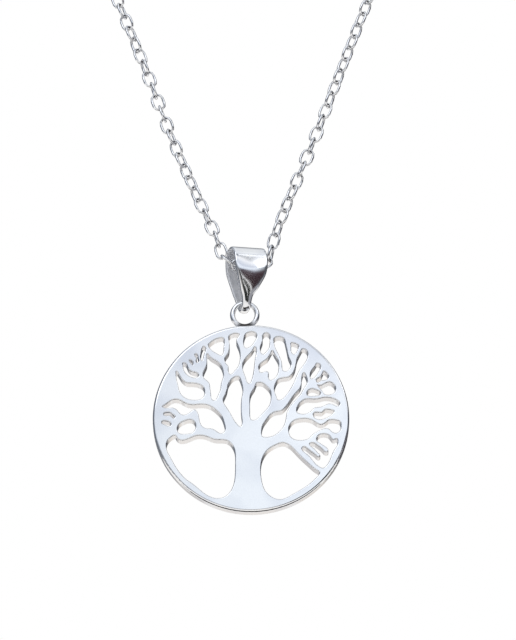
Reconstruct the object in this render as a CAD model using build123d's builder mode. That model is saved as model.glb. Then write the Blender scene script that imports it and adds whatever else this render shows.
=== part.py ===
"""Tree of life pendant on a cable chain: pierced silver disc with a soldered ring, folded leaf
bail, a whole chain in two strands, and a spring ring clasp with its end ring.

The part hangs as it is worn. The origin is the nape, where the clasp lies; +Z is up, -Y is the
front that the disc faces, and +X is the wearer's left, at the right of a front view.
"""
import os
from math import ceil, cos, radians, sin
from build123d import *

os.makedirs("parts", exist_ok=True)

# Disc
disc_diameter = 25.0
disc_thickness = 1.7
rim_edge_radius = 0.35        # rounding of the outer rim
gap_edge_radius = 0.15        # rounding of each pierced edge
disc_sway = 3.3               # degrees that the pendant leans in its own plane

# Ring soldered on the rim
ring_outer = 3.8
ring_wire = 0.65
solder_bite = 0.26            # depth that the ring's wire is let into the rim

# Bail, a leaf shaped strip folded over the chain
bail_width = 4.5
bail_sheet = 0.45
bail_top_radius = 1.5         # inside, round the chain
bail_foot_radius = 0.70       # inside, round the pendant's ring
bail_drop = 5.65              # from the centre of the top fold to the centre of the foot
bail_edge_radius = 0.1
bail_turn = 20.0              # degrees about the vertical
bail_lean = 3.5               # degrees in the front view
foot_shift = -0.67            # sideways place of the foot along the bail's width

# Chain
link_wire = 0.30
link_width = 1.78
link_pitch = 1.755
link_play = 0.16              # clearance between two links that cross

# Fastening at the nape
clasp_diameter = 5.9
clasp_wire = 1.1
eye_outer = 2.0
eye_wire = 0.5
eye_bite = 0.15               # depth that the eye is soldered into the clasp
end_ring_outer = 3.8
end_ring_wire = 0.6
fastening_play = 0.14         # clearance where the fastening's rings cross

# Place of the bail's top fold, from the nape
neck_depth = 82.0
neck_drop = 127.0

# Each strand's chosen points, from the bail's top fold: X sideways, Y back, Z up
chain_middle = (0.0, 0.0, -0.5)
strand_right = [
    (1.3, 0.45, -0.45), (2.5, 0.85, 0.05), (3.1, 0.9, 1.2), (3.5, 0.65, 3.3), (5.3, 0.3, 8.3),
    (8.7, 0.0, 16.8), (12.2, 0.0, 26.4), (15.7, 0.0, 36.0), (21.2, 0.0, 50.0),
    (27.6, 0.2, 65.5), (34.8, 2.6, 81.0), (41.3, 10.5, 94.0), (45.0, 24.5, 103.5),
    (44.6, 40.0, 110.5), (39.8, 55.5, 117.0), (30.5, 69.0, 122.5), (18.5, 78.5, 126.0)]
strand_left = [
    (-1.3, -0.45, -0.5), (-2.6, -0.8, -0.1), (-3.25, -0.85, 1.1), (-3.9, -0.6, 3.2),
    (-6.4, -0.2, 9.0), (-9.8, 0.0, 17.4), (-13.2, 0.0, 26.8), (-16.7, 0.0, 36.0),
    (-22.0, 0.0, 50.0), (-28.0, 0.2, 65.5), (-34.8, 2.6, 81.0), (-41.3, 10.5, 94.0),
    (-45.0, 24.5, 103.5), (-44.6, 40.0, 110.5), (-39.8, 55.5, 117.0), (-30.5, 69.0, 122.5),
    (-18.5, 78.5, 126.0)]

# Slow twist of each strand: millimetres from the bail, degrees of roll
twist_right = [(0, 110), (4.4, 71), (9.6, 51), (14.9, 26), (18.4, -8), (25.4, -36),
               (32.4, -57), (40, -65), (120, -65), (206, -90)]
twist_left = [(0, -20), (4.4, -22), (6.1, 6), (9.6, 14), (13.1, 41), (20, 65), (27, 101),
              (34, 130), (39.5, 172), (120, 176), (206, 180)]

# Leaf outline of the bail: drop as a share of bail_drop, left and right edges as shares of
# half its width
leaf_edges = [
    (0.60, -1.00, 1.00), (-0.10, -1.00, 1.00), (-0.24, -0.97, 0.95), (-0.39, -0.89, 0.84),
    (-0.55, -0.80, 0.62), (-0.72, -0.71, 0.35), (-0.90, -0.61, 0.04), (-1.25, -0.53, -0.06)]

# Gaps of the tree, in percent of the disc's radius from its centre: right, up
gaps = {
    "root_left": [
        (-66, -64), (-54, -75), (-43, -82.3), (-32, -82.3), (-24.7, -76),
        (-20, -62), (-18.7, -46), (-20, -30), (-26, -23.3), (-38, -21.5),
        (-47, -17.5), (-56, -16.3), (-66, -19.7), (-74, -19.8), (-76.5, -17.5),
        (-78, -15), (-82, -16.5), (-86.5, -21.5), (-87.5, -27), (-84.5, -36),
        (-76.5, -52)],
    "root_right": [
        (33, -29.5), (37, -32), (44, -40), (56, -53.5), (63, -60), (65.5, -62.3),
        (62, -67.5), (55, -73.5), (45, -79.5), (35, -84.7), (25, -88), (16, -84.7),
        (10, -78), (7, -67), (7, -53), (10, -42.5), (16, -35), (24, -30.6)],
    "bough_left": [
        (-89, 17), (-83, 20.7), (-76, 23.7), (-71, 22.3), (-65, 18.5), (-58, 16.8),
        (-48, 16.7), (-41, 14.5), (-35, 9.5), (-30, 3), (-27.5, -6), (-27.5, -12.5),
        (-30, -14.8), (-35, -13), (-40, -9.5), (-46, -8.6), (-50, -6), (-52.5, 1),
        (-54, 9), (-56.5, 12), (-61, 10), (-68, 7), (-71.5, 8.5), (-75, 13),
        (-79, 15.4), (-85, 15.3)],
    "eye_left": [
        (-75.5, -8), (-73, -3), (-67, 0.3), (-61, 1), (-57.5, -2), (-57, -7.5),
        (-60, -12.3), (-67, -13.5), (-74, -12)],
    "slot_left_high": [
        (-88.3, 9), (-86, 10.2), (-82, 9.7), (-79.5, 7.7), (-77.3, 5), (-78.5, 3.9),
        (-80.5, 5.8), (-83, 7.2), (-87, 7.3)],
    "slot_left_low": [
        (-90.5, 0.3), (-88, 1.5), (-85, 0.6), (-82.4, -1), (-82, -3.5), (-84, -4.2),
        (-87.5, -2.6)],
    "pocket_left": [
        (-72.8, 53.2), (-71, 50), (-68, 44.5), (-64, 41), (-57.5, 40), (-51, 38.3),
        (-47, 35.3), (-45.8, 31), (-46.5, 26.5), (-49.5, 23.2), (-56.4, 22.3),
        (-63.6, 24), (-69, 28.5), (-71.5, 34), (-72.8, 42), (-73.8, 49)],
    "crescent": [
        (-65, 62.2), (-63, 61), (-61.5, 56.8), (-57.5, 52.5), (-52, 50.2), (-51, 48),
        (-53, 46.2), (-58, 47), (-62, 49.5), (-65, 53.5), (-66.2, 58.5)],
    "slit": [(-59, 65), (-57.3, 64.5), (-56, 61.5), (-56.3, 60), (-58, 62)],
    "bent_slit": [
        (-53.2, 70.9), (-52.0, 71.2), (-50.9, 69.3), (-50.4, 66.3), (-50.7, 62.5),
        (-52.2, 62.4), (-51.9, 66), (-53, 69)],
    "finger": [
        (-43.6, 78.7), (-42.3, 76.8), (-44, 71.5), (-45.5, 66), (-46.7, 63.8),
        (-47.8, 66), (-47.3, 70.5), (-46.3, 75), (-45.3, 77.3)],
    "leaf_left_tall": [
        (-40.3, 70), (-37, 66), (-32, 62.3), (-28, 58), (-26, 52), (-26, 45),
        (-28.5, 38), (-29.8, 31), (-32, 26.5), (-36.5, 20.7), (-38.5, 22), (-39.3, 27),
        (-39.8, 33), (-40.5, 39.5), (-43.5, 43.3), (-46, 46.3), (-45.5, 51),
        (-42.5, 57), (-41.3, 64.5)],
    "triangle_left": [
        (-38.5, 81), (-34, 84.5), (-28, 87), (-24, 86.8), (-22.8, 83), (-23.8, 77),
        (-24.5, 71.5), (-26, 69), (-31, 71), (-36, 75)],
    "leaf_top_left": [
        (-8.5, 76), (-7.5, 70), (-7.8, 64), (-10, 56), (-14.5, 50.5), (-18.5, 47.8),
        (-20, 50), (-20, 56), (-23, 61.5), (-22.8, 65), (-19.5, 69.5), (-17.8, 75),
        (-17.5, 82), (-17.5, 88), (-14, 90.5), (-9.5, 91), (-7.3, 90), (-9.3, 86.5),
        (-10.3, 81.5)],
    "drop_top": [
        (0, 90), (3, 91.6), (8, 91.5), (10.5, 89), (9.5, 84), (6.5, 79.5), (2, 75.7),
        (-1.3, 75.5), (-3, 80), (-2, 86)],
    "leaf_middle_high": [
        (7.5, 63), (6, 53), (4, 43.8), (2.2, 38.8), (0.4, 36.6), (-1.4, 38), (-2.9, 43),
        (-5, 50), (-5, 57.5), (-2.5, 62.5), (2, 67.3), (6, 72), (8.5, 75.2), (9.3, 72)],
    "leaf_middle_left": [
        (-14, 44), (-10, 44), (-8.3, 40), (-7, 33.5), (-7, 28), (-8.6, 20.7),
        (-9.7, 12), (-9.7, 2), (-9.7, -6), (-11, -8.8), (-14, -6.5), (-20, 4.5),
        (-25, 14), (-27.2, 19), (-25, 25), (-22.5, 31), (-21, 36.5), (-18, 41)],
    "leaf_middle_right": [
        (9, 36.7), (13, 36.3), (18, 32), (21, 27.5), (21.4, 21), (19.7, 13), (15, 7),
        (8, 0.3), (3.5, -2.6), (0.3, -2), (-0.8, 3), (-0.3, 13), (0.5, 22),
        (2.5, 27), (6, 32.3)],
    "drop_top_right": [
        (18.3, 88.7), (21.5, 89.7), (24, 87), (23.7, 80.5), (22.8, 74.5), (19.5, 70),
        (16, 67.5), (13.9, 70.5), (14.5, 76), (16.7, 82.5)],
    "leaf_top_right": [
        (28, 80.5), (29.5, 84), (34, 85), (38, 83), (39.5, 78), (40.7, 70),
        (42.3, 61), (44, 55.5), (42.5, 51), (39, 47.8), (35.8, 48.7), (35, 54),
        (33.3, 63), (30, 71.5)],
    "heart_right": [
        (26.5, 69.5), (28.5, 64.5), (31, 59), (31, 51), (29, 44), (25.5, 40.3),
        (21.8, 39.3), (20.3, 42), (20.8, 45.8), (20.1, 48.2), (18, 49), (15.2, 48.1),
        (12.4, 48.2), (11, 51), (12, 55.5), (16, 59), (22, 64)],
    "bud_right": [
        (45.3, 75), (46.3, 77.7), (49, 77), (52.8, 74.3), (51.5, 70), (47.5, 65.7),
        (45.7, 67.5)],
    "leaf_right_long": [
        (58.5, 70.2), (61.3, 67.5), (60.5, 59.5), (57, 54), (52, 47.8), (47, 38),
        (43, 30.3), (37, 22), (31.5, 17.7), (28.5, 17.7), (27, 21.5), (25.5, 28),
        (27, 34), (30, 38.5), (35, 40.3), (41, 41), (46, 45.5), (48.7, 52),
        (50.8, 60), (54.5, 67)],
    "bough_right": [
        (57, 44.3), (58.7, 40), (59.2, 34.5), (56, 29), (52, 22.5), (47.5, 17.5),
        (43, 13), (39.5, 8.5), (36.5, 3), (35, -4), (32, -11.5), (27, -17),
        (21, -20.7), (14, -21.5), (10.5, -20.5), (10, -15.5), (12, -8.5), (16, -3),
        (20.5, 2), (26, 4.5), (31.5, 5.3), (36, 9), (40, 14), (43.5, 19), (48, 24),
        (52, 28.5), (53.7, 34), (54.8, 41)],
    "slot_right": [
        (71.5, 53.8), (73.7, 52), (73.3, 48), (70, 43), (66.5, 39), (63.5, 38.3),
        (63, 42), (66, 48), (69, 51.7)],
    "triangle_right": [
        (77.5, 45), (80, 42.5), (81.3, 38.5), (79.5, 36.6), (74, 35.5), (69.5, 34.3),
        (68.8, 35.8), (73, 39), (75.7, 43)],
    "bud_far_right": [
        (70.5, 30.5), (76, 31), (82.5, 33.2), (86, 30.5), (87.7, 26), (86, 21.8),
        (81, 20), (76.5, 20.8), (73.8, 25)],
    "lens_right": [
        (58.3, 22), (60.5, 25.7), (64.5, 27), (68.5, 25.3), (71.8, 23), (71.8, 21),
        (66.5, 19.7), (61, 19.8)],
    "long_lens_right": [
        (46.8, 4.5), (48.5, 9.5), (52.5, 14), (57, 16.2), (63, 16), (69, 15.8),
        (76, 17), (83, 16), (88.5, 13), (90.8, 9.5), (89.5, 7.5), (85, 9),
        (79, 10.3), (74, 8.2), (69, 7.3), (65, 7), (61, 3.5), (57, 1.3), (51, 1.2)],
    "wave_right": [
        (64, 0.3), (66.5, 1.6), (72, 1), (76, 3.8), (81, 3.5), (84.5, 1.8),
        (83, -0.3), (78.5, -3.5), (74, -5.3), (67.5, -5.4), (64.2, -3)],
    "pond_right": [
        (37.5, -16), (38.8, -11), (43, -6.5), (48, -4.7), (56, -4.6), (62, -6.7),
        (70, -11.7), (74.5, -10.7), (79, -7.7), (85, -7.7), (90, -10), (90.6, -14),
        (88.7, -19.7), (85.5, -21.2), (81.5, -19.7), (78, -16.2), (73, -16),
        (66, -18.7), (61.5, -21.3), (57, -25.5), (51, -26.8), (43.5, -25.8),
        (38.7, -22)],
    "comb_right": [
        (83.5, -37.5), (78, -47.5), (73, -55.5), (70, -57.5), (67, -56.5),
        (60, -49), (54, -41.5), (50, -35.7), (51, -34.8), (57, -38.5),
        (62.5, -43.3), (66.3, -46), (67.8, -44.5), (65.5, -41), (61.5, -36),
        (58, -31.7), (60, -30.7), (65, -33.2), (70, -38), (73.5, -41.3),
        (76, -40.7), (75.7, -37.5), (71, -33), (67, -30), (65.5, -29), (65.5, -26),
        (69, -22.5), (74, -22), (78.5, -24.5), (82.3, -28.8), (85.5, -28),
        (86.3, -31)],
}

disc_radius = disc_diameter / 2
ring_radius = (ring_outer - ring_wire) / 2
link_reach = link_pitch + link_wire + link_play    # between the centres of a link's end wires
link_bend = (link_width - link_wire) / 2

# The bail hangs turned and leaning; its width, depth and height directions follow
hang = Vector(0, -neck_depth, -neck_drop)
turned = Vector(1, 0, 0).rotate(Axis.Z, bail_turn)
depthwise = Vector(0, 1, 0).rotate(Axis.Z, bail_turn)
widthwise = turned.rotate(Axis((0, 0, 0), depthwise), -bail_lean)
upright = widthwise.cross(depthwise)
foot = hang + widthwise * foot_shift - upright * bail_drop

# The pendant hangs by its ring from the bail's foot and faces the front
right = Vector(1, 0, 0).rotate(Axis.Y, -disc_sway)
up = Vector(0, 0, 1).rotate(Axis.Y, -disc_sway)
ring_centre = foot - up * ring_radius
disc_centre = ring_centre - up * (disc_radius + ring_outer / 2 - solder_bite)
face = Plane(origin=disc_centre, x_dir=right, z_dir=(0, -1, 0))


def chart(table, place):
    """Value of a two column table at a place, in straight lines between its rows."""
    for (s0, v0), (s1, v1) in zip(table, table[1:]):
        if place <= s1:
            return v0 + (v1 - v0) * (place - s0) / (s1 - s0)
    return table[-1][1]


def soft_path(points, start, end):
    """Smooth path through the points, level with its neighbours' chord at each, one Bezier
    span between each two with handles of a third of their distance."""
    points = [Vector(*p) for p in points]
    aims = [(b - a).normalized() for a, b in zip(points, points[2:])]
    aims = [Vector(*start)] + aims + [Vector(*end)]
    with BuildLine() as path:
        for a, b, aim_a, aim_b in zip(points, points[1:], aims, aims[1:]):
            handle = (b - a).length / 3
            Bezier(a, a + aim_a * handle, b - aim_b * handle, b)
    return path.wires()[0]


def ring_of(outer, wire, plane):
    """Closed round ring of round wire lying in a plane."""
    with BuildPart(plane) as ring:
        Torus((outer - wire) / 2, wire / 2)
    return ring.part


# Disc with its soldered ring
with BuildPart() as pendant:
    with BuildSketch(face):
        Circle(disc_radius)
    extrude(amount=disc_thickness / 2, both=True)
    fillet(pendant.edges(), rim_edge_radius)
    for outline in gaps.values():
        with BuildSketch(face) as gap:
            with BuildLine():
                Spline(*[(u / 100 * disc_radius, v / 100 * disc_radius) for u, v in outline],
                       periodic=True)
            make_face()
        extrude(amount=disc_thickness, both=True, mode=Mode.SUBTRACT)
        fillet(pendant.edges(Select.LAST), gap_edge_radius)
    add(ring_of(ring_outer, ring_wire, Plane(origin=ring_centre, x_dir=right, z_dir=(0, -1, 0))))

# Bail: a strip folded round two centres, cut to its leaf outline
fold = Plane(origin=hang, x_dir=depthwise, z_dir=widthwise)
with BuildPart() as bail:
    with BuildSketch(fold):
        with Locations((0, 0)):
            Circle(bail_top_radius + bail_sheet)
        with Locations((0, -bail_drop)):
            Circle(bail_foot_radius + bail_sheet)
        make_hull()
    extrude(amount=bail_width, both=True)
    with BuildSketch(fold):
        with Locations((0, 0)):
            Circle(bail_top_radius)
        with Locations((0, -bail_drop)):
            Circle(bail_foot_radius)
        make_hull()
    extrude(amount=bail_width, both=True, mode=Mode.SUBTRACT)
    with BuildSketch(Plane(origin=hang, x_dir=widthwise, z_dir=-depthwise)):
        with BuildLine():
            west_edge = [(west * bail_width / 2, drop * bail_drop) for drop, west, east in leaf_edges]
            east_edge = [(east * bail_width / 2, drop * bail_drop) for drop, west, east in leaf_edges]
            Line(east_edge[0], west_edge[0])
            Line(west_edge[0], west_edge[1])
            Spline(*west_edge[1:], tangents=[(0, -1), (0.1, -1)])
            Line(west_edge[-1], east_edge[-1])
            Spline(*east_edge[:0:-1], tangents=[(0.1, 1), (0, 1)])
            Line(east_edge[1], east_edge[0])
        make_face()
    extrude(amount=bail_width, both=True, mode=Mode.INTERSECT)
    fillet(bail.edges().filter_by(Axis(hang, widthwise), reverse=True), bail_edge_radius)

# One link, lying in its own plane
with BuildPart() as link:
    with BuildLine() as run:
        half = link_reach / 2 - link_bend
        side = Line((-half, link_bend), (half, link_bend))
        bend = TangentArc(side @ 1, (half, -link_bend), tangent=side % 1)
        back = Line(bend @ 1, (-half, -link_bend))
        TangentArc(back @ 1, side @ 0, tangent=back % 1)
    with BuildSketch(Plane(origin=side @ 0, z_dir=(1, 0, 0))):
        Circle(link_wire / 2)
    sweep()


def link_places(points, twist, start, end):
    """Place of every link of a strand: its ends on two joints of the path, its plane rolled by
    the twist and by a quarter turn from link to link."""
    path = soft_path(points, start, end)
    count = 2 * ceil(path.length / (2 * link_pitch))
    step = path.length / count
    joints = [path.position_at(i * step, PositionMode.LENGTH) for i in range(count + 1)]
    places = []
    for i, (a, b) in enumerate(zip(joints, joints[1:])):
        centre, along = (a + b) / 2, (b - a).normalized()
        outward = centre - Vector(0, -neck_depth / 2, centre.Z)
        outward = (outward - along * outward.dot(along)).normalized()
        roll = radians(chart(twist, (i + 0.5) * step) + 90 * (i % 2))
        normal = outward * cos(roll) + along.cross(outward) * sin(roll)
        places.append(Plane(origin=centre, x_dir=along, z_dir=normal).location)
    return places


# Where the fastening's rings lie, sideways from the nape
clasp_mean = (clasp_diameter - clasp_wire) / 2
eye_mean = (eye_outer - eye_wire) / 2
end_ring_mean = (end_ring_outer - end_ring_wire) / 2
eye_x = eye_bite - clasp_diameter / 2 - eye_outer / 2
end_ring_x = clasp_mean - (clasp_wire + end_ring_wire) / 2 - fastening_play + end_ring_mean
inset = (link_wire + link_play) / 2             # from a link's end wire to the joint
left_end_x = eye_x - eye_mean + (eye_wire + link_wire) / 2 + fastening_play - inset
right_end_x = end_ring_x + end_ring_mean - (end_ring_wire + link_wire) / 2 - fastening_play + inset

# The two strands, from the middle of the bail to the nape
middle = hang + Vector(*chain_middle)
through = (Vector(*strand_right[0]) - Vector(*strand_left[0])).normalized()
right_points = [middle] + [hang + Vector(*p) for p in strand_right] + [(right_end_x, 0, 0)]
left_points = [middle] + [hang + Vector(*p) for p in strand_left] + [(left_end_x, 0, 0)]

with BuildPart() as chain_right:
    with Locations(*link_places(right_points, twist_right, through, (-1, 0, 0))):
        add(link.part)

with BuildPart() as chain_left:
    with Locations(*link_places(left_points, twist_left, -through, (1, 0, 0))):
        add(link.part)

# Spring ring clasp in its closed form, with the soldered eye that the left strand ends in
with BuildPart(Plane.XZ) as clasp:
    Torus(clasp_mean, clasp_wire / 2)
    with Locations((eye_x, 0, 0)):
        Torus(eye_mean, eye_wire / 2)

# Plain ring at the end of the right strand
end_ring = ring_of(end_ring_outer, end_ring_wire, Plane(origin=(end_ring_x, 0, 0)))

pendant.part.label = "pendant"
bail.part.label = "bail"
chain_right.part.label = "chain_right"
chain_left.part.label = "chain_left"
clasp.part.label = "clasp"
end_ring.label = "end_ring"

export_step(pendant.part, "parts/pendant.step")
export_step(bail.part, "parts/bail.step")
export_step(chain_right.part, "parts/chain_right.step")
export_step(chain_left.part, "parts/chain_left.step")
export_step(clasp.part, "parts/clasp.step")
export_step(end_ring, "parts/end_ring.step")
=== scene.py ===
"""Looks of the tree of life necklace: polished silver pendant and bail, cable chain of drawn
wire, and the plain fastening at the nape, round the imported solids. Everything is in metres in
the solids' own frame: the nape is the origin, +Z is up and -Y is the front.
"""
import bmesh
import bpy
import math
import numpy as np
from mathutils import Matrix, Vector
from bpy.props import FloatProperty, FloatVectorProperty, PointerProperty


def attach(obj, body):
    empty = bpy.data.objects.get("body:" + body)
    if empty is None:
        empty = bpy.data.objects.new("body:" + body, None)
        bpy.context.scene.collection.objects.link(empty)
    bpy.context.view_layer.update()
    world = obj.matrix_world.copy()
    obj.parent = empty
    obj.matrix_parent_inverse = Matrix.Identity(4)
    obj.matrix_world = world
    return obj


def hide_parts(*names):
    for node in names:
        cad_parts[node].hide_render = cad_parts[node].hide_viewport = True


bl_info = {
    "name": "Tree of life necklace",
    "version": (1, 0, 0),
    "blender": (4, 5, 0),
    "location": "3D View > Sidebar > Necklace",
    "description": "Polished silver looks for a pierced pendant, its bail and its cable chain",
    "category": "Object",
}

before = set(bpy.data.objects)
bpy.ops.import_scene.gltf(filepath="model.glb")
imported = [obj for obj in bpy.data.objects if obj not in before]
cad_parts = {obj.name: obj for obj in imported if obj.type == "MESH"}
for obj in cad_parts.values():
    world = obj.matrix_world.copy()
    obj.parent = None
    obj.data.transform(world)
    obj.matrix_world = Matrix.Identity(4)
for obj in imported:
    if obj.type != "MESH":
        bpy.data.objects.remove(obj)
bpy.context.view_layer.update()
MM = 0.001

# Place of the bail's top fold from the nape, in mm
HANG = np.array((0.0, -82.0, -127.0))

# Each strand's chosen points in mm from the bail's top fold, and the slow twist of its links:
# mm from the bail, degrees of roll
CHAIN_MIDDLE = (0.0, 0.0, -0.5)
STRAND_RIGHT = [
    (1.3, 0.45, -0.45), (2.5, 0.85, 0.05), (3.1, 0.9, 1.2), (3.5, 0.65, 3.3), (5.3, 0.3, 8.3),
    (8.7, 0.0, 16.8), (12.2, 0.0, 26.4), (15.7, 0.0, 36.0), (21.2, 0.0, 50.0),
    (27.6, 0.2, 65.5), (34.8, 2.6, 81.0), (41.3, 10.5, 94.0), (45.0, 24.5, 103.5),
    (44.6, 40.0, 110.5), (39.8, 55.5, 117.0), (30.5, 69.0, 122.5), (18.5, 78.5, 126.0)]
STRAND_LEFT = [
    (-1.3, -0.45, -0.5), (-2.6, -0.8, -0.1), (-3.25, -0.85, 1.1), (-3.9, -0.6, 3.2),
    (-6.4, -0.2, 9.0), (-9.8, 0.0, 17.4), (-13.2, 0.0, 26.8), (-16.7, 0.0, 36.0),
    (-22.0, 0.0, 50.0), (-28.0, 0.2, 65.5), (-34.8, 2.6, 81.0), (-41.3, 10.5, 94.0),
    (-45.0, 24.5, 103.5), (-44.6, 40.0, 110.5), (-39.8, 55.5, 117.0), (-30.5, 69.0, 122.5),
    (-18.5, 78.5, 126.0)]
TWIST_RIGHT = [(0, 110), (4.4, 71), (9.6, 51), (14.9, 26), (18.4, -8), (25.4, -36),
               (32.4, -57), (40, -65), (120, -65), (206, -90)]
TWIST_LEFT = [(0, -20), (4.4, -22), (6.1, 6), (9.6, 14), (13.1, 41), (20, 65), (27, 101),
              (34, 130), (39.5, 172), (120, 176), (206, 180)]
# Where each strand ends at the nape, in mm to the right
RIGHT_END_X = 4.24
LEFT_END_X = -4.23
# A link's mesh: where its points stand round the stadium, and how many go round the wire
LINK_TURNS = np.radians([-90, -54, -18, 18, 54, 90, 90, 126, 162, 198, 234, 270])
WIRE_SIDES = 6
# Painted shade where links meet and rub: full at the wire's inside, gone at this cosine round the
# wire
CROSSING_SHADE_END = 0.7

# Bail, in mm: its top fold, its foot, the sheet, and how far it is turned and leans, in degrees
BAIL_HALF_WIDTH = 2.25
BAIL_SHEET = 0.45
BAIL_TOP_RADIUS = 1.725
BAIL_FOOT_RADIUS = 0.925
BAIL_DROP = 5.65
BAIL_TURN = 20.0
BAIL_LEAN = 3.5
# Leaf outline: left and right edge as shares of half the width, each with the drop's share
LEAF_WEST = [(-1.0, 0.6), (-1.0, -0.1), (-0.97, -0.24), (-0.89, -0.39), (-0.80, -0.55),
             (-0.71, -0.72), (-0.61, -0.9), (-0.53, -1.25)]
LEAF_EAST = [(1.0, 0.6), (1.0, -0.1), (0.95, -0.24), (0.84, -0.39), (0.62, -0.55),
             (0.35, -0.72), (0.04, -0.9), (-0.06, -1.25)]
# The leaf's mesh: samples of its profile, rows along it, columns across a face and steps round
# an edge; and the share of the drop over which its crown rises
PROFILE_SAMPLES = 4001
LEAF_ROWS = 180
LEAF_COLUMNS = 17
EDGE_STEPS = 5
CROWN_RISE = 0.35

# Where the ring is soldered to the rim, in mm from the bail's top fold. The dark mark there,
# partly a flux stain
# and partly painted shade of the joint: its reach in mm, its strength, and the mm below the seam
# where it ends
SOLDER = (-0.112, -0.111, -9.02)
SOLDER_REACH = 1.7
SOLDER_STAIN_AND_SHADE = 1.1
SOLDER_END = 0.3

# Finish: least and most roughness as shares of its middle, the most that duller patches show,
# and the share of tarnish and painted shade above which the metal is darkened
POLISH_SPREAD = (0.75, 1.3)
PATCH_SHARE = 0.7
STAIN_AND_SHADE_START = 0.55

# Corners of a solid's mesh this near are one, in metres. A facet this many degrees off the mean
# of those round a corner keeps its own normal. A flat or a wall is told by the cosine between
# its normal and the axis, and outweighs a rounded edge so many times.
MERGE_DISTANCE = 1e-7
CREASE = 40.0
FLAT_COSINE, FLAT_WEIGHT = 0.9999, 1e6
WALL_COSINE, WALL_WEIGHT = 0.01, 1e3

# Where the camera looks, in mm from the bail's top fold, and how far off and how low it
# stands. The sensor spans the photo's height.
CAMERA_TARGET = (1.4876, 0.0, -7.8955)
CAMERA_DISTANCE = 450.0
CAMERA_ELEVATION = -19.6
PHOTO_HEIGHT = 640
FOCAL_PIXELS = 3499.0
SENSOR_MM = 36.0

# Soft lamps: place from where the camera looks and size, both in mm, and power in watts
LAMPS = [("soft_key", (-180, -420, 330), 320, 0.36), ("soft_fill", (420, -260, 320), 260, 0.2)]
# Half the floor's width, in metres
FLOOR_HALF = 1.6

# What the metal mirrors at each height, from 0 straight down over 0.5 level to 1 straight up
FRONT_WALL = [(0.0, "#6b625a"), (0.36, "#cfc8c0"), (0.48, "#8f8c8a"), (0.55, "#6f7174"),
              (0.585, "#a9b0b8"), (0.61, "#e2e8f2"), (0.648, "#f4faff"), (0.662, "#eff4fc"),
              (0.684, "#d5dae4"), (0.705, "#dde2ea"), (0.77, "#ffffff"), (0.80, "#94989e"),
              (0.84, "#9fa3a9"), (0.87, "#e3e6ea"), (1.0, "#eceef0")]
BACK_WALL = [(0.0, "#6b625a"), (0.40, "#e4ddd6"), (0.51, "#d3cdc7"), (0.56, "#8d8a88"),
             (0.62, "#515255"), (0.70, "#4a4c51"), (0.82, "#686b70"), (0.92, "#b4b7bb"),
             (1.0, "#eceef0")]
DOORWAY = [(0.0, "#8f8a86"), (0.26, "#d6d0ca"), (0.34, "#c2bbb7"), (0.39, "#5a4c50"),
           (0.47, "#33262a"), (0.55, "#35272b"), (0.60, "#46343a"), (1.0, "#6a6064")]

# The same room's side walls, and the shade over the left of its front wall
SIDE_WALL = "#4e5055"
LEFT_WALL = "#8f97a3"

# Soft steps between the parts of that room, by one part of a mirrored ray's direction: where
# each starts and where it is full
BEHIND_Y = (-0.35, 0.05)
BESIDE_X = (0.62, 0.82)
LEFT_X = (-0.05, 0.02)
DOORWAY_LEFT_X = (0.30, 0.48)
DOORWAY_RIGHT_X = (0.85, 0.80)
DOORWAY_TOP_Z = (0.215, 0.175)

# Outlines that the bail mirrors, in degrees from it: azimuth to the right of the front, and
# elevation. A dark card with a rounded corner, its bright edge, a bright crooked strip before
# it, and a grey card beside it. Then half the strips' widths in degrees, and how far from the
# bail each stands, in metres.
CARD_OUTLINE = [(10, 5), (27, 4), (37, 1.5), (44, -2), (49, -6), (51, -12), (52, -20), (10, -20)]
CARD_EDGE = [(20, 4.6), (30, 3.5), (37, 1.5), (44, -2), (49, -6), (51, -12), (52, -20)]
CROOKED_STRIP = [(22, 1), (25, -1.5), (31, -3.5), (34, -7), (35, -12), (35, -16), (34.5, -20)]
SIDE_CARD = [(51, -5), (85, 4), (85, -24), (51, -24)]
EDGE_HALF_WIDTH, STRIP_HALF_WIDTH = 0.75, 0.9
CARD_REACH, STRIP_REACH, SIDE_CARD_REACH = 0.42, 0.40, 0.43

# Cards just over the floor, in metres: half the width, and the near and far edge from the bail
CARD_BELOW = (0.4, -0.13, 0.13)
CARD_BEHIND = (0.3, 0.55, 1.15)
CARD_LIFT = 0.02

# Sockets of a colour Mix node, which share their names: factor, both colours, and the result
FACTOR, FIRST, SECOND, MIXED = 0, 6, 7, 2


def linear(hex_colour):
    """Linear RGBA of an sRGB hex colour such as "#e6e4df": each part c becomes c / 12.92 below
    0.04045 and ((c + 0.055) / 1.055) to the power 2.4 above it."""
    parts = np.array([int(hex_colour[i:i + 2], 16) for i in (1, 3, 5)]) / 255
    parts = np.where(parts <= 0.04045, parts / 12.92, ((parts + 0.055) / 1.055) ** 2.4)
    return (*parts, 1.0)


def add_node(tree, kind, sockets=None, **settings):
    """Adds one node with its properties set. Each of its sockets, given by name or place, takes
    a plain value or is linked to another node's output."""
    node = tree.nodes.new(kind)
    for name, value in settings.items():
        setattr(node, name, value)
    for place, value in (sockets or {}).items():
        if isinstance(value, bpy.types.NodeSocket):
            tree.links.new(value, node.inputs[place])
        else:
            node.inputs[place].default_value = value
    return node


def put_stops(ramp, stops):
    """Gives a colour ramp its stops, each a place from 0 to 1 and an sRGB hex colour."""
    for end, (place, colour) in zip(ramp.elements, (stops[0], stops[-1])):
        end.position, end.color = place, linear(colour)
    for place, colour in stops[1:-1]:
        ramp.elements.new(place).color = linear(colour)


def seen_from_bail(places, reach):
    """Points at a distance in metres from the bail, each at an azimuth and an elevation."""
    az, el = np.radians(np.array(places, float)).T
    aim = np.stack([np.cos(el) * np.sin(az), -np.cos(el) * np.cos(az), np.sin(el)], axis=1)
    return HANG * MM + reach * aim


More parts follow.
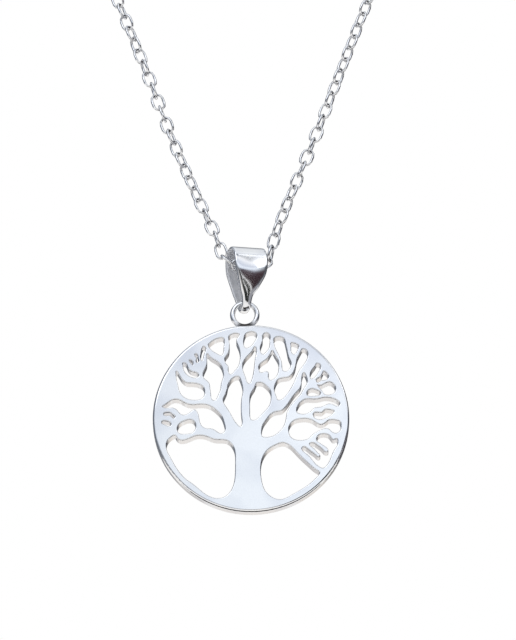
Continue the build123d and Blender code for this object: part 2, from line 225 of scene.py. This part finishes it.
def ribbon(line, half_width):
    """Closed outline of a ribbon along a line: each of its points moved to both sides."""
    line = np.array(line, float)
    aim = np.gradient(line, axis=0)
    aim /= np.linalg.norm(aim, axis=1)[:, None]
    side = half_width * np.stack([-aim[:, 1], aim[:, 0]], axis=1)
    return np.vstack([line + side, (line - side)[::-1]])


def silver(name, look, ripple_mm, scratch_mm):
    """Polished metal whose roughness and shading vary a little: broad ripples left by the
    polishing mop, and fine hairlines. Where the mesh's attribute "tarnish_and_shade" nears 1,
    the metal is darker and duller: a stain, and painted shade where chain links meet and round
    the ring's soldered joint. Real hairlines are about 0.01 mm apart: they are drawn some ten
    times as coarse, so that they show."""
    material = bpy.data.materials.new(name)
    material.use_nodes = True
    tree = material.node_tree
    tree.nodes.clear()
    place = add_node(tree, "ShaderNodeTexCoord").outputs["Object"]
    ripple = add_node(tree, "ShaderNodeTexNoise",
                      {"Vector": place, "Scale": 1 / (ripple_mm * MM), "Detail": 2.0,
                       "Roughness": 0.45}).outputs["Fac"]
    hairline = add_node(tree, "ShaderNodeTexNoise",
                        {"Vector": place, "Scale": 1 / (scratch_mm * MM), "Detail": 3.0,
                         "Roughness": 0.6}).outputs["Fac"]
    # Share of tarnish and painted shade written on each vertex
    tarnish_and_shade = add_node(tree, "ShaderNodeAttribute", attribute_name="tarnish_and_shade").outputs["Fac"]

    polish = add_node(tree, "ShaderNodeMapRange",
                      {"Value": hairline, "From Min": 0.3, "From Max": 0.7,
                       "To Min": look.roughness * POLISH_SPREAD[0],
                       "To Max": look.roughness * POLISH_SPREAD[1]})
    rough = add_node(tree, "ShaderNodeMath", {0: polish.outputs["Result"], 1: tarnish_and_shade},
                     operation="ADD")
    patch = add_node(tree, "ShaderNodeMapRange",
                     {"Value": ripple, "From Min": 0.4, "From Max": 0.7, "To Min": 0.0,
                      "To Max": PATCH_SHARE})
    # How far the dark stain colour shows: real stain, and painted shade where links meet and round
    # the ring's joint
    deep = add_node(tree, "ShaderNodeMapRange",
                    {"Value": tarnish_and_shade, "From Min": STAIN_AND_SHADE_START, "From Max": 1.0})
    tone = tuple(look.colour)
    for share, colour in ((patch, look.tarnish_and_shade), (deep, look.stain_and_shade)):
        tone = add_node(tree, "ShaderNodeMix",
                        {FACTOR: share.outputs["Result"], FIRST: tone, SECOND: tuple(colour)},
                        data_type="RGBA").outputs[MIXED]

    waves = add_node(tree, "ShaderNodeBump",
                     {"Height": ripple, "Strength": 1.0, "Distance": look.ripple_um * 1e-6})
    marks = add_node(tree, "ShaderNodeBump",
                     {"Height": hairline, "Strength": 1.0, "Distance": look.hairline_um * 1e-6,
                      "Normal": waves.outputs["Normal"]})
    shader = add_node(tree, "ShaderNodeBsdfPrincipled",
                      {"Base Color": tone, "Metallic": 1.0, "Roughness": rough.outputs["Value"],
                       "Normal": marks.outputs["Normal"]})
    add_node(tree, "ShaderNodeOutputMaterial", {"Surface": shader.outputs["BSDF"]})
    return material


def write_tarnish_and_shade(mesh, shares):
    """Writes each vertex's share of tarnish and painted shade into the attribute
    "tarnish_and_shade".
    """
    layer = mesh.attributes.new("tarnish_and_shade", "FLOAT", "POINT")
    layer.data.foreach_set("value", np.clip(shares, 0, 1).astype(np.float32).ravel())


def put(name, mesh, material, body, node):
    """Places a finished mesh as one piece that rides on a body and stands for a solid."""
    piece = bpy.data.objects.new(name, mesh)
    bpy.context.scene.collection.objects.link(piece)
    mesh.materials.clear()
    mesh.materials.append(material)
    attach(piece, body)
    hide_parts(node)
    return piece


def polished_copy(name, node, material, body, axis=None):
    """Merged copy of a solid's mesh with smooth normals. A corner's normal is the mean of the
    facets round it weighted by area. Where an axis is given, the flat faces across it outweigh
    the walls along it, and the walls outweigh the rounded edges, so that flats stay flat. A
    facet far off that mean keeps its own normal."""
    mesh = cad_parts[node].data.copy()
    work = bmesh.new()
    work.from_mesh(mesh)
    bmesh.ops.remove_doubles(work, verts=work.verts, dist=MERGE_DISTANCE)
    work.to_mesh(mesh)
    work.free()

    count = len(mesh.polygons)
    facet, area = np.empty(count * 3), np.empty(count)
    corners, sides = np.empty(len(mesh.loops), int), np.empty(count, int)
    mesh.polygons.foreach_get("normal", facet)
    mesh.polygons.foreach_get("area", area)
    mesh.polygons.foreach_get("loop_total", sides)
    mesh.loops.foreach_get("vertex_index", corners)
    facet, owner = facet.reshape(-1, 3), np.repeat(np.arange(count), sides)
    if axis is not None:
        lean = np.abs(facet @ np.array(axis, float))
        wall = np.where(lean < WALL_COSINE, WALL_WEIGHT, 1.0)
        area = area * np.where(lean > FLAT_COSINE, FLAT_WEIGHT, wall)
    smooth = np.zeros((len(mesh.vertices), 3))
    np.add.at(smooth, corners, (facet * area[:, None])[owner])
    smooth /= np.maximum(np.linalg.norm(smooth, axis=1), 1e-30)[:, None]
    normals, own = smooth[corners], facet[owner]
    crease = np.sum(normals * own, axis=1) < math.cos(math.radians(CREASE))
    normals[crease] = own[crease]
    mesh.polygons.foreach_set("use_smooth", np.ones(count, bool))
    mesh.normals_split_custom_set(normals)
    return put(name, mesh, material, body, node)


def soft_path(points, start, end, steps=48):
    """Points along a smooth path: between each two chosen points a Bezier span, (1-t)^3 a +
    3(1-t)^2 t b + 3(1-t) t^2 c + t^3 d, whose handles b and c lie a third of the distance along
    the aim at each end, and the aim is the chord of a point's two neighbours."""
    p = np.array(points, float)
    aim = np.empty_like(p)
    aim[1:-1] = p[2:] - p[:-2]
    aim[0], aim[-1] = start, end
    aim /= np.linalg.norm(aim, axis=1)[:, None]
    reach = np.linalg.norm(p[1:] - p[:-1], axis=1)[:, None] / 3
    t = np.linspace(0, 1, steps, endpoint=False)[None, :, None]
    a, d = p[:-1, None], p[1:, None]
    b, c = (p[:-1] + aim[:-1] * reach)[:, None], (p[1:] - aim[1:] * reach)[:, None]
    span = (1 - t) ** 3 * a + 3 * (1 - t) ** 2 * t * b + 3 * (1 - t) * t * t * c + t ** 3 * d
    return np.vstack([span.reshape(-1, 3), p[-1:]])


def closed_grid(rows, columns):
    """Quads of a grid of points that closes both ways: each joins the points (i, j),
    (i + 1, j), (i + 1, j + 1) and (i, j + 1)."""
    i, j = np.meshgrid(np.arange(rows), np.arange(columns), indexing="ij")
    below, beside = (i + 1) % rows, (j + 1) % columns
    quads = np.stack([i * columns + j, below * columns + j, below * columns + beside,
                      i * columns + beside], axis=-1)
    return quads.reshape(-1, 4)


def smooth_mesh(name, corners, faces, tarnish_and_shade):
    """Smooth mesh from corners in mm, with the share of tarnish and painted shade at each."""
    mesh = bpy.data.meshes.new(name)
    mesh.from_pydata(corners * MM, [], faces)
    mesh.polygons.foreach_set("use_smooth", np.ones(len(faces), bool))
    write_tarnish_and_shade(mesh, tarnish_and_shade)
    mesh.update()
    return mesh


def strand_mesh(name, points, twist, start, end, sizes):
    """Every link of a strand. Link centres and directions come from joints at equal distances
    along the path. A link is a tube of radius r round a stadium: with u round the stadium and v
    round the wire, a point is c(u) + r (cos v n(u) + sin v m), where c runs along two straights
    joined by half circles, n points away from its centre and m is the link plane's normal."""
    path = soft_path(points, start, end)
    run = np.concatenate([[0], np.cumsum(np.linalg.norm(np.diff(path, axis=0), axis=1))])
    count = 2 * math.ceil(run[-1] / (2 * sizes.pitch))
    stops = np.linspace(0, run[-1], count + 1)
    joints = np.stack([np.interp(stops, run, path[:, k]) for k in range(3)], axis=1)
    centre = (joints[:-1] + joints[1:]) / 2
    along = joints[1:] - joints[:-1]
    along /= np.linalg.norm(along, axis=1)[:, None]
    # A link's roll is counted from the direction away from the middle of the neck
    outward = centre - np.array((0, HANG[1] / 2, 0))
    outward[:, 2] = 0
    outward -= along * np.sum(outward * along, axis=1)[:, None]
    outward /= np.linalg.norm(outward, axis=1)[:, None]
    middle = (stops[:-1] + stops[1:]) / 2
    table = np.array(twist, float)
    roll = np.radians(np.interp(middle, table[:, 0], table[:, 1]) + 90 * (np.arange(count) % 2))
    normal = outward * np.cos(roll)[:, None] + np.cross(along, outward) * np.sin(roll)[:, None]
    side = np.cross(normal, along)

    bend = (sizes.width - sizes.wire) / 2
    half = sizes.reach / 2 - bend
    u, around = LINK_TURNS[:, None], len(LINK_TURNS)
    shift = np.where(np.arange(around) < around // 2, half, -half)[:, None]
    v = np.linspace(0, 2 * np.pi, WIRE_SIDES, endpoint=False)
    away = bend + sizes.wire / 2 * np.cos(v)
    x, y = shift + np.cos(u) * away, np.sin(u) * away
    z = np.broadcast_to(sizes.wire / 2 * np.sin(v), x.shape)
    flat = np.stack([x.ravel(), y.ravel(), z.ravel()], axis=1)
    axes = np.stack([along, side, normal], axis=1)
    corners = (centre[:, None] + np.einsum("pk,nkc->npc", flat, axes)).reshape(-1, 3)
    faces = closed_grid(around, WIRE_SIDES) + np.arange(count)[:, None, None] * len(flat)
    # Painted shade inside a link's two bends, where the next link crosses
    painted_crossing_shade = np.abs(np.cos(u)) * np.clip(CROSSING_SHADE_END - np.cos(v), 0, 1)
    return smooth_mesh(name, corners, faces.reshape(-1, 4), np.tile(painted_crossing_shade.ravel(), count))


def leaf_edge(points, drop):
    """Share of half the width at each drop, along the smooth path through a leaf edge's points."""
    path = soft_path([(share, 0, place) for share, place in points], (0, 0, -1), (0, 0, -1))
    return np.interp(-drop, -path[:, 2], path[:, 0])


def folded_leaf(name, sizes):
    """Closed sheet folded round the chain and the ring. Its side profile has the support
    function h = w ln(exp(R / w) + exp((r - L sin p) / w)) at the normal's angle p: the hull of
    the fold of radius R and the foot of radius r a length L below it, its straight sides
    swelled by w. A point is h n + h' t. Across it runs a section with half round ends of half
    the sheet's thickness, arched by crown (1 - q^2) at the share q of the width."""
    p = np.radians(np.linspace(90, 450, PROFILE_SAMPLES))
    swell = sizes.swell
    fold, foot = BAIL_TOP_RADIUS, BAIL_FOOT_RADIUS - BAIL_DROP * np.sin(p)
    share = 1 / (1 + np.exp((fold - foot) / swell))
    reach = swell * np.logaddexp(fold / swell, foot / swell)
    slope = -share * BAIL_DROP * np.cos(p)
    out = reach * np.cos(p) - slope * np.sin(p)
    rise = reach * np.sin(p) + slope * np.cos(p)
    run = np.concatenate([[0], np.cumsum(np.hypot(np.diff(out), np.diff(rise)))])
    stops = np.linspace(0, run[-1], LEAF_ROWS, endpoint=False)
    p, out, rise = (np.interp(stops, run, each) for each in (p, out, rise))

    drop = rise / BAIL_DROP
    west = leaf_edge(LEAF_WEST, drop) * BAIL_HALF_WIDTH
    east = leaf_edge(LEAF_EAST, drop) * BAIL_HALF_WIDTH
    middle, half = (east + west)[:, None] / 2, (east - west)[:, None] / 2
    thick = BAIL_SHEET / 2
    q = np.linspace(-1, 1, LEAF_COLUMNS)
    bend = np.radians(np.linspace(0, 180, EDGE_STEPS + 2))[1:-1]
    end = np.ones(EDGE_STEPS)
    flat = np.concatenate([q, end, q[::-1], -end])
    turn = np.concatenate([0 * q, np.sin(bend), 0 * q, -np.sin(bend)])
    lift = np.concatenate([1 + 0 * q, np.cos(bend), -1 + 0 * q, -np.cos(bend)])
    across = (half - thick) * flat + thick * turn
    fade = np.clip((-drop - sizes.crown_start) / CROWN_RISE, 0, 1)
    fade = (fade * fade * (3 - 2 * fade))[:, None]
    away = thick * lift + sizes.crown * fade * (1 - (across / half) ** 2)

    t, l = math.radians(BAIL_TURN), -math.radians(BAIL_LEAN)
    turned = np.array((math.cos(t), math.sin(t), 0))
    depth = np.array((-math.sin(t), math.cos(t), 0))
    wide = turned * math.cos(l) + np.cross(depth, turned) * math.sin(l)
    up = np.cross(wide, depth)
    normal = np.cos(p)[:, None] * depth + np.sin(p)[:, None] * up
    spine = HANG + out[:, None] * depth + rise[:, None] * up
    place = (spine[:, None] + (middle + across)[..., None] * wide
             + away[..., None] * normal[:, None])

    # The grid's quads are turned round, because here the rows run the other way
    faces = closed_grid(LEAF_ROWS, len(flat))[:, [0, 3, 2, 1]]
    # The mop doesn't reach the leaf's inside, where lift is negative
    tarnish_and_shade = np.broadcast_to(np.where(lift < -0.1, sizes.inside, 0), place.shape[:2])
    return smooth_mesh(name, place.reshape(-1, 3), faces, tarnish_and_shade)


def flat_card(name, finish, colour, outline, roughness):
    """One flat polygon with a matt finish of one linear colour."""
    mesh = bpy.data.meshes.new(name)
    mesh.from_pydata(list(outline), [], [tuple(range(len(outline)))])
    material = bpy.data.materials.new(finish)
    material.use_nodes = True
    shader = material.node_tree.nodes["Principled BSDF"]
    shader.inputs["Base Color"].default_value = colour
    shader.inputs["Roughness"].default_value = roughness
    mesh.materials.append(material)
    card = bpy.data.objects.new(name, mesh)
    bpy.context.scene.collection.objects.link(card)
    return card


def level_outline(half_width, near, far, z):
    """Corners of a level rectangle, in metres."""
    return [(-half_width, near, z), (half_width, near, z), (half_width, far, z),
            (-half_width, far, z)]


def studio_world(stage):
    """White surround for the eye and the floor. The metal mirrors a room whose front wall is
    bright above a grey horizon and darker to the left, whose back and side walls are grey, and
    which has a dark doorway at the front right."""
    world = bpy.data.worlds.new("Studio")
    world.use_nodes = True
    tree = world.node_tree
    tree.nodes.clear()
    aim = add_node(tree, "ShaderNodeTexCoord").outputs["Generated"]
    x, y, z = add_node(tree, "ShaderNodeSeparateXYZ", {"Vector": aim}).outputs
    across = add_node(tree, "ShaderNodeMath", {0: x}, operation="ABSOLUTE").outputs["Value"]
    height = add_node(tree, "ShaderNodeMapRange", {"Value": z, "From Min": -1.0, "From Max": 1.0})
    walls = []
    for stops in (FRONT_WALL, BACK_WALL, DOORWAY):
        wall = add_node(tree, "ShaderNodeValToRGB", {"Fac": height.outputs["Result"]})
        put_stops(wall.color_ramp, stops)
        walls.append(wall.outputs["Color"])
    front, back, dark = walls

    behind, beside, left, doorway, jamb, lintel = (
        add_node(tree, "ShaderNodeMapRange",
                 {"Value": value, "From Min": start, "From Max": full, "To Min": low,
                  "To Max": high}, interpolation_type="SMOOTHSTEP").outputs["Result"]
        for value, (start, full), low, high in (
            (y, BEHIND_Y, 0.0, 1.0), (across, BESIDE_X, 0.0, 1.0),
            (x, LEFT_X, stage.left_shade, 0.0), (x, DOORWAY_LEFT_X, 0.0, 1.0),
            (x, DOORWAY_RIGHT_X, 0.0, 1.0), (z, DOORWAY_TOP_Z, 0.0, 1.0)))
    for side in (jamb, lintel):
        doorway = add_node(tree, "ShaderNodeMath", {0: doorway, 1: side},
                           operation="MULTIPLY").outputs["Value"]
    room = front
    for share, colour in ((behind, back), (beside, linear(SIDE_WALL)), (left, linear(LEFT_WALL)),
                          (doorway, dark)):
        room = add_node(tree, "ShaderNodeMix", {FACTOR: share, FIRST: room, SECOND: colour},
                        data_type="RGBA").outputs[MIXED]

    mirrored = add_node(tree, "ShaderNodeBackground",
                        {"Color": room, "Strength": stage.mirror_strength})
    seen = add_node(tree, "ShaderNodeBackground",
                    {"Color": linear("#ffffff"), "Strength": 1.0})
    rays = add_node(tree, "ShaderNodeLightPath")
    mix = add_node(tree, "ShaderNodeMixShader",
                   {"Fac": rays.outputs["Is Glossy Ray"], 1: seen.outputs["Background"],
                    2: mirrored.outputs["Background"]})
    add_node(tree, "ShaderNodeOutputWorld", {"Surface": mix.outputs["Shader"]})
    return world


def photo_camera(target):
    """Camera at the photo's angle, aimed at a point in metres."""
    tilt = math.radians(CAMERA_ELEVATION)
    back = np.array((0, -math.cos(tilt), math.sin(tilt)))
    lens = bpy.data.cameras.new("photo_camera")
    lens.sensor_width = SENSOR_MM
    lens.lens = lens.sensor_width * FOCAL_PIXELS / PHOTO_HEIGHT
    lens.clip_start, lens.clip_end = 0.01, 20
    camera = bpy.data.objects.new("photo_camera", lens)
    bpy.context.scene.collection.objects.link(camera)
    camera.location = target + back * CAMERA_DISTANCE * MM
    camera.rotation_euler = Vector(-back).to_track_quat("-Z", "Y").to_euler()
    return camera


class NECKLACE_PG_silver(bpy.types.PropertyGroup):
    """Finish of one kind of silver piece."""
    colour: FloatVectorProperty(name="Colour", description="Colour of the clean metal",
                                subtype="COLOR", size=4, min=0, max=1,
                                default=linear("#f6f7f9"))
    tarnish_and_shade: FloatVectorProperty(name="Tarnish", description="Colour of its duller patches",
                                 subtype="COLOR", size=4, min=0, max=1,
                                 default=linear("#dde0e8"))
    # Dark colour painted where links meet and round the ring's soldered seam: partly stain, partly
    # painted shade
    stain_and_shade: FloatVectorProperty(name="Stain", description="Colour where tarnish gathers, as at "
                               "a soldered seam or between two links", subtype="COLOR", size=4,
                               min=0, max=1, default=linear("#5f5b5a"))
    roughness: FloatProperty(name="Roughness", description="Middle roughness of the polish",
                             default=0.1, min=0, max=1, subtype="FACTOR")
    ripple_um: FloatProperty(name="Ripple", description="Height of the polishing ripples, in "
                             "thousandths of a millimetre", default=6.0, min=0)
    hairline_um: FloatProperty(name="Hairlines", description="Depth of the hairlines, in "
                               "thousandths of a millimetre", default=0.2, min=0)


class NECKLACE_PG_chain(bpy.types.PropertyGroup):
    """Sizes of the chain's links, in millimetres."""
    wire: FloatProperty(name="Wire", description="Diameter of the link's wire, in mm",
                        default=0.335, min=0.05)
    width: FloatProperty(name="Width", description="Outer width of a link, in mm", default=1.78)
    pitch: FloatProperty(name="Pitch", description="Distance from link to link, in mm",
                         default=1.755)
    reach: FloatProperty(name="Reach", description="Between the centres of a link's two end "
                         "wires, in mm", default=2.215)


class NECKLACE_PG_leaf(bpy.types.PropertyGroup):
    """Shape of the bail's leaf, in millimetres."""
    swell: FloatProperty(name="Swell", description="Outward swell of the sides, in mm",
                         default=0.4, min=0.02)
    crown: FloatProperty(name="Crown", description="Rise of the leaf's middle over its edges, "
                         "in mm", default=0.16, min=0)
    crown_start: FloatProperty(name="Crown start", description="Share of the drop where the "
                               "crown begins", default=-0.05)
    inside: FloatProperty(name="Inside tarnish", description="Tarnish left inside the fold, "
                          "where the mop doesn't reach", default=0.55, min=0, max=1,
                          subtype="FACTOR")


class NECKLACE_PG_stage(bpy.types.PropertyGroup):
    """Studio round the necklace."""
    floor_z: FloatProperty(name="Floor height", description="Height of the floor",
                           default=-0.42, unit="LENGTH")
    floor_colour: FloatVectorProperty(name="Floor colour", description="Colour of the floor",
                                      subtype="COLOR", size=4, min=0, max=1,
                                      default=linear("#f5f3f0"))
    left_shade: FloatProperty(name="Left shade", description="How far the bright wall darkens "
                              "to the left", default=0.3, min=0, max=1, subtype="FACTOR")
    mirror_strength: FloatProperty(name="Mirrored room", description="Brightness of the room "
                                   "that the metal mirrors", default=1.12, min=0)


class NECKLACE_OT_pendant(bpy.types.Operator):
    """Polished pendant: the pierced disc and its soldered ring"""
    bl_idname = "necklace.pendant"
    bl_label = "Pendant"

    def execute(self, context):
        look = context.scene.necklace_pendant
        # Sterling silver, cast and mop polished: a bright even mirror with soft broad ripples
        material = silver("Polished cast sterling silver", look, ripple_mm=5.0, scratch_mm=0.12)
        disc = polished_copy("pendant_disc", "pendant", material, "pendant",
                             (0, 1, 0))
        # Dark mark round the ring's soldered seam: partly flux stain, partly painted shade where
        # ring and rim meet
        place = np.empty(len(disc.data.vertices) * 3)
        disc.data.vertices.foreach_get("co", place)
        from_seam = place.reshape(-1, 3) / MM - HANG - SOLDER
        off = np.linalg.norm(from_seam, axis=1) / SOLDER_REACH
        above = np.clip(1 + from_seam[:, 2] / SOLDER_END, 0, 1)
        write_tarnish_and_shade(disc.data, (SOLDER_STAIN_AND_SHADE - off ** 2) * above)
        return {"FINISHED"}


class NECKLACE_OT_bail(bpy.types.Operator):
    """Folded leaf bail"""
    bl_idname = "necklace.bail"
    bl_label = "Bail"

    def execute(self, context):
        look = context.scene.necklace_bail
        # Rolled sterling sheet, buffed after folding: a sharper mirror than the cast disc
        material = silver("Buffed sterling silver sheet", look, ripple_mm=2.4, scratch_mm=0.1)
        mesh = folded_leaf("bail_leaf", context.scene.necklace_leaf)
        put("bail_leaf", mesh, material, "bail", "bail")
        return {"FINISHED"}


class NECKLACE_OT_chain(bpy.types.Operator):
    """Both strands of the cable chain"""
    bl_idname = "necklace.chain"
    bl_label = "Chain"

    def execute(self, context):
        sizes, look = context.scene.necklace_chain, context.scene.necklace_wire
        # Drawn sterling wire, tumble polished: bright, with tiny uneven highlights
        material = silver("Tumbled sterling silver wire", look, ripple_mm=0.9, scratch_mm=0.08)
        through = np.subtract(STRAND_RIGHT[0], STRAND_LEFT[0])
        for name, points, twist, aim, end_x, end_aim in (
                ("chain_right", STRAND_RIGHT, TWIST_RIGHT, through, RIGHT_END_X, (-1, 0, 0)),
                ("chain_left", STRAND_LEFT, TWIST_LEFT, -through, LEFT_END_X, (1, 0, 0))):
            route = [HANG + p for p in [CHAIN_MIDDLE] + points] + [np.array((end_x, 0, 0))]
            mesh = strand_mesh(name + "_links", route, twist, aim, end_aim, sizes)
            put(name + "_links", mesh, material, "necklace", name)
        return {"FINISHED"}


class NECKLACE_OT_fastening(bpy.types.Operator):
    """Clasp and end ring at the nape"""
    bl_idname = "necklace.fastening"
    bl_label = "Fastening"

    def execute(self, context):
        look = context.scene.necklace_wire
        # Sterling tube and wire, tumble polished with the chain: bright, with soft highlights
        material = silver("Tumbled sterling silver tube", look, ripple_mm=1.5, scratch_mm=0.1)
        polished_copy("clasp_ring", "clasp", material, "necklace")
        polished_copy("chain_end_ring", "end_ring", material, "necklace")
        return {"FINISHED"}


class NECKLACE_OT_stage(bpy.types.Operator):
    """Floor, surround, soft lights and the camera at the photo's angle"""
    bl_idname = "necklace.stage"
    bl_label = "Stage"

    def execute(self, context):
        stage, scene = context.scene.necklace_stage, context.scene
        scene.view_settings.view_transform = "Standard"
        scene.world = studio_world(stage)

        # Matt paper: pale and even, without a gleam
        outline = level_outline(FLOOR_HALF, -FLOOR_HALF, FLOOR_HALF, stage.floor_z)
        floor = flat_card("floor", "Matt white paper", stage.floor_colour, outline, roughness=0.9)

        # Cards that only the metal mirrors: dark felt below the pendant and at the front right,
        # the second with white strips before it and grey card beside it, and pale card on the
        # floor behind. Felt takes up nearly all light, and card scatters it evenly.
        card_z, bail_y = stage.floor_z + CARD_LIFT, HANG[1] * MM
        below, behind = (level_outline(half_width, bail_y + near, bail_y + far, card_z)
                         for half_width, near, far in (CARD_BELOW, CARD_BEHIND))
        edge, strip = ribbon(CARD_EDGE, EDGE_HALF_WIDTH), ribbon(CROOKED_STRIP, STRIP_HALF_WIDTH)
        for name, finish, colour, outline in (
                ("card_below", "Brown felt", "#2c2624", below),
                ("card_right", "Green black felt", "#1d221e",
                 seen_from_bail(CARD_OUTLINE, CARD_REACH)),
                ("card_edge", "White card", "#ffffff", seen_from_bail(edge, STRIP_REACH)),
                ("crooked_strip", "White card", "#ffffff", seen_from_bail(strip, STRIP_REACH)),
                ("side_card", "Grey card", "#96979c",
                 seen_from_bail(SIDE_CARD, SIDE_CARD_REACH)),
                ("card_behind", "Warm white card", "#ece7e2", behind)):
            flag = flat_card(name, finish, linear(colour), outline, roughness=1.0)
            flag.visible_camera = flag.visible_diffuse = flag.visible_shadow = False

        target = (HANG + CAMERA_TARGET) * MM
        for name, place_mm, size_mm, watts in LAMPS:
            light = bpy.data.lights.new(name, "AREA")
            light.shape = "SQUARE"
            light.size = size_mm * MM
            light.energy = watts
            lamp = bpy.data.objects.new(name, light)
            scene.collection.objects.link(lamp)
            lamp.location = target + np.array(place_mm) * MM
            aim = Vector(place_mm) * -1
            lamp.rotation_euler = aim.to_track_quat("-Z", "Y").to_euler()
        scene.camera = photo_camera(target)
        return {"FINISHED"}


class NECKLACE_PT_panel(bpy.types.Panel):
    """Lists the necklace's pieces and finishes"""
    bl_idname = "NECKLACE_PT_panel"
    bl_label = "Necklace"
    bl_space_type = "VIEW_3D"
    bl_region_type = "UI"
    bl_category = "Necklace"

    def draw(self, context):
        for operator in OPERATORS:
            self.layout.operator(operator.bl_idname)
        for settings in SETTINGS:
            group = getattr(context.scene, settings)
            box = self.layout.box()
            box.label(text=settings.replace("_", " "))
            for name in group.__annotations__:
                box.prop(group, name)


OPERATORS = (NECKLACE_OT_pendant, NECKLACE_OT_bail, NECKLACE_OT_chain, NECKLACE_OT_fastening,
             NECKLACE_OT_stage)
GROUPS = (NECKLACE_PG_silver, NECKLACE_PG_leaf, NECKLACE_PG_chain, NECKLACE_PG_stage)
SETTINGS = {
    "necklace_pendant": NECKLACE_PG_silver,
    "necklace_bail": NECKLACE_PG_silver,
    "necklace_wire": NECKLACE_PG_silver,
    "necklace_leaf": NECKLACE_PG_leaf,
    "necklace_chain": NECKLACE_PG_chain,
    "necklace_stage": NECKLACE_PG_stage,
}


def register():
    for kind in GROUPS + OPERATORS + (NECKLACE_PT_panel,):
        bpy.utils.register_class(kind)
    for name, group in SETTINGS.items():
        setattr(bpy.types.Scene, name, PointerProperty(type=group))


def unregister():
    for name in SETTINGS:
        delattr(bpy.types.Scene, name)
    for kind in reversed(GROUPS + OPERATORS + (NECKLACE_PT_panel,)):
        bpy.utils.unregister_class(kind)


def main():
    register()
    bpy.ops.necklace.stage()
    bpy.ops.necklace.pendant()
    bpy.ops.necklace.bail()
    bpy.ops.necklace.chain()
    bpy.ops.necklace.fastening()
    bpy.context.view_layer.update()


if __name__ == "__main__":
    main()
